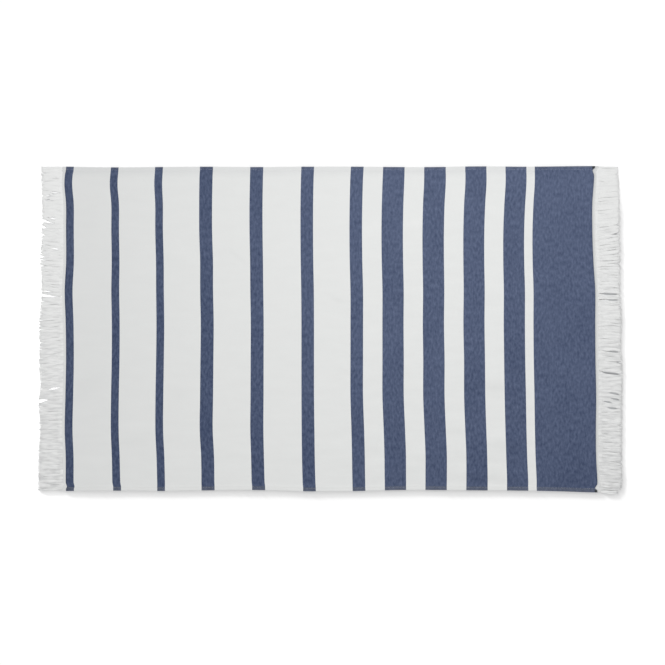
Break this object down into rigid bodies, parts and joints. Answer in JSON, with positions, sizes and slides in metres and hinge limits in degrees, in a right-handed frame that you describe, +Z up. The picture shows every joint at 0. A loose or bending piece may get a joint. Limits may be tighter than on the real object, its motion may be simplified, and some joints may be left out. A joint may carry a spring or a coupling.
{
  "type": "beach towel",
  "caption": "Flat-woven cotton beach towel, spread out: white with graded blue stripes and a wide blue end band, hemmed long edges and a yarn fringe at both ends.",
  "frame": {"origin": "middle of the towel's outline, on the surface that it lies on", "axes": "+X along the towel's length, towards the wide end band; +Y across its width, to the left of +X; +Z up from the surface"},
  "size_m": [1.8045, 1.0125, 0.0034],
  "materials": {
    "woven_cotton": "matt flat weave, white with heathered navy blue stripes across it",
    "cotton_yarn": "soft white loosely twisted yarn"
  },
  "bodies": {
    "root": {"cloth": "woven_cotton", "fringe_left": "cotton_yarn", "fringe_right": "cotton_yarn"}
  },
  "joints": []
}
